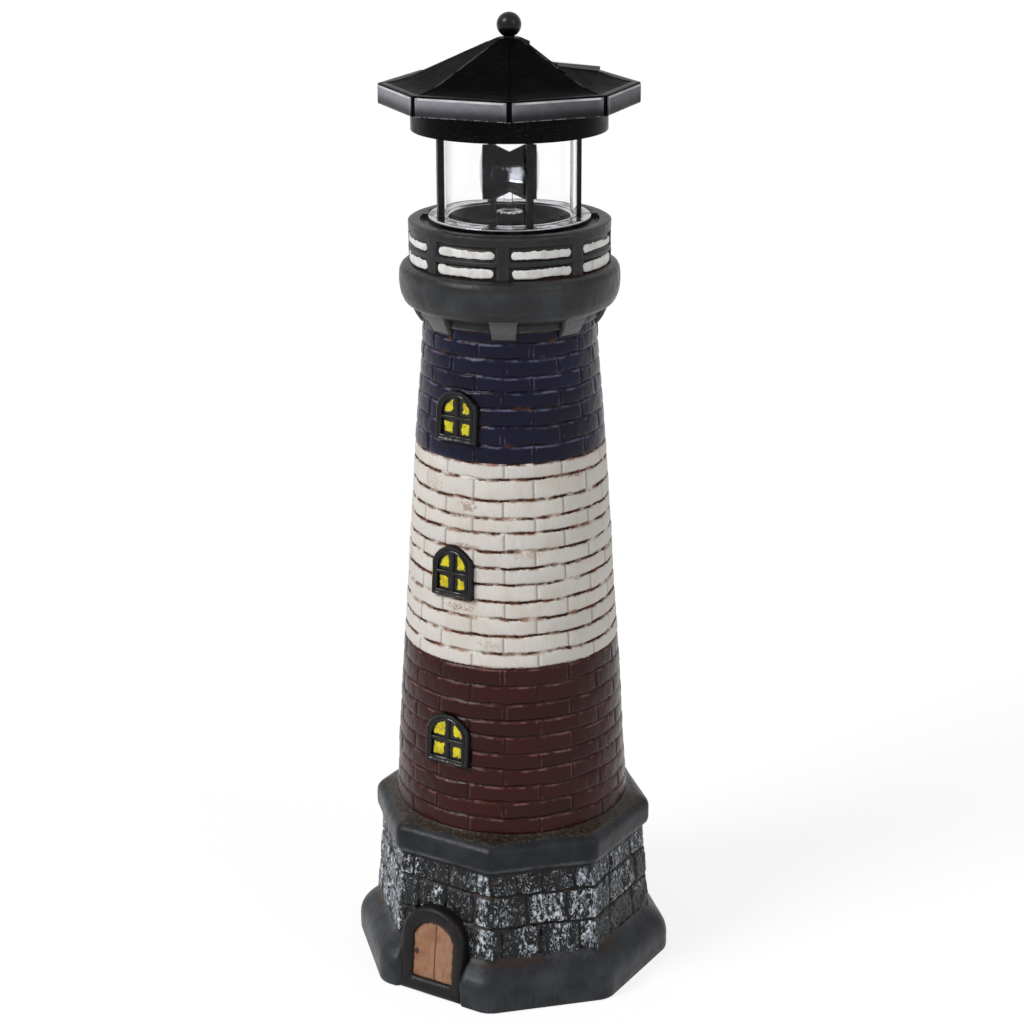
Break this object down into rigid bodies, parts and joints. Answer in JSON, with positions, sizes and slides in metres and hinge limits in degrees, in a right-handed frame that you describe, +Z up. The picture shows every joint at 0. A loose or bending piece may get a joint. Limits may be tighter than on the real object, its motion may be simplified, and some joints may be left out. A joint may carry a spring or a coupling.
{
  "type": "garden lighthouse ornament",
  "caption": "Solar garden lighthouse: a hollow tapered brick tower on a stone plinth, with a lift-out lamp head and a turning reflector.",
  "frame": {"origin": "centre of the tower's underside, on the ground", "axes": "+Z up along the tower's axis, -Y towards the door and the windows, +X to the right of someone facing the door"},
  "size_m": [0.1504, 0.1504, 0.4711],
  "materials": {
    "painted_shell": "blow-moulded polyethylene, painted by hand in navy, off-white and maroon brick, slate stone and a tan door",
    "black_gloss": "black, glossy, moulded",
    "black_satin": "black, satin, moulded",
    "solar_cell": "cell strips under clear resin",
    "clear": "clear moulded plastic",
    "chrome_floor": "vacuum-plated plastic, bright",
    "chrome_dish": "vacuum-plated plastic, slightly blue",
    "gear_white": "natural acetal",
    "brass_pinion": "machined",
    "steel": "zinc plated",
    "board_green": "glass-fibre circuit board with solder mask",
    "led_resin": "clear epoxy with a pale phosphor",
    "cell_sleeve": "plain shrink sleeve",
    "red_wire": "flexible insulation",
    "black_wire": "flexible insulation"
  },
  "bodies": {
    "tower": {"tower_shell": "painted_shell"},
    "lamp_head": {"roof_cover": "black_gloss", "finial_ball": "black_gloss", "solar_panel": "solar_cell", "ceiling_cup": "black_satin", "roof_screws": "steel", "lamp_tube": "clear", "lamp_base": "black_satin", "floor_plate": "chrome_floor", "hub_bush": "black_satin", "idler_pin": "steel", "motor": "steel", "gear_plate": "gear_white", "led_board": "board_green", "led": "led_resin", "lower_housing": "black_satin", "housing_screws": "steel", "circuit_board": "board_green", "board_screws": "steel", "switch_body": "steel", "battery_cell": "cell_sleeve", "contact_plus": "steel", "contact_minus": "steel", "red_lead": "red_wire", "black_lead": "black_wire"},
    "reflector_unit": {"spindle": "clear", "reflector_left": "chrome_dish", "reflector_right": "chrome_dish", "lens_left": "clear", "lens_right": "clear", "drive_gear": "gear_white"},
    "idler": {"idler_gear": "gear_white"},
    "rotor": {"motor_pinion": "brass_pinion"},
    "door": {"battery_door": "black_satin"},
    "switch": {"switch_knob": "gear_white"}
  },
  "joints": [
    {"name": "head_lift", "type": "slide", "parent": "tower", "child": "lamp_head", "axis": [0, 0, 1], "range_m": [0, 0.08]},
    {"name": "reflector_spin", "type": "hinge", "parent": "lamp_head", "child": "reflector_unit", "pos_m": [0, 0, 0.398], "axis": [0, 0, 1], "continuous": true},
    {"name": "idler_spin", "type": "hinge", "parent": "lamp_head", "child": "idler", "pos_m": [-0.01262, -0.00773, 0.364], "axis": [0, 0, 1], "continuous": true},
    {"name": "rotor_spin", "type": "hinge", "parent": "lamp_head", "child": "rotor", "pos_m": [-0.01931, 0.00318, 0.36], "axis": [0, 0, 1], "continuous": true},
    {"name": "door_swing", "type": "hinge", "parent": "lamp_head", "child": "door", "pos_m": [-0.01702, -0.02697, 0.3416], "axis": [-0.5225, 0.8526, 0], "range_deg": [0, 90]},
    {"name": "switch_slide", "type": "slide", "parent": "lamp_head", "child": "switch", "axis": [0.8526, 0.5225, 0], "range_m": [0, 0.0025]}
  ],
  "couplings": [
    {"joint": "idler_spin", "follows": "reflector_spin", "ratio": -3.1111},
    {"joint": "rotor_spin", "follows": "reflector_spin", "ratio": 9.3333}
  ]
}
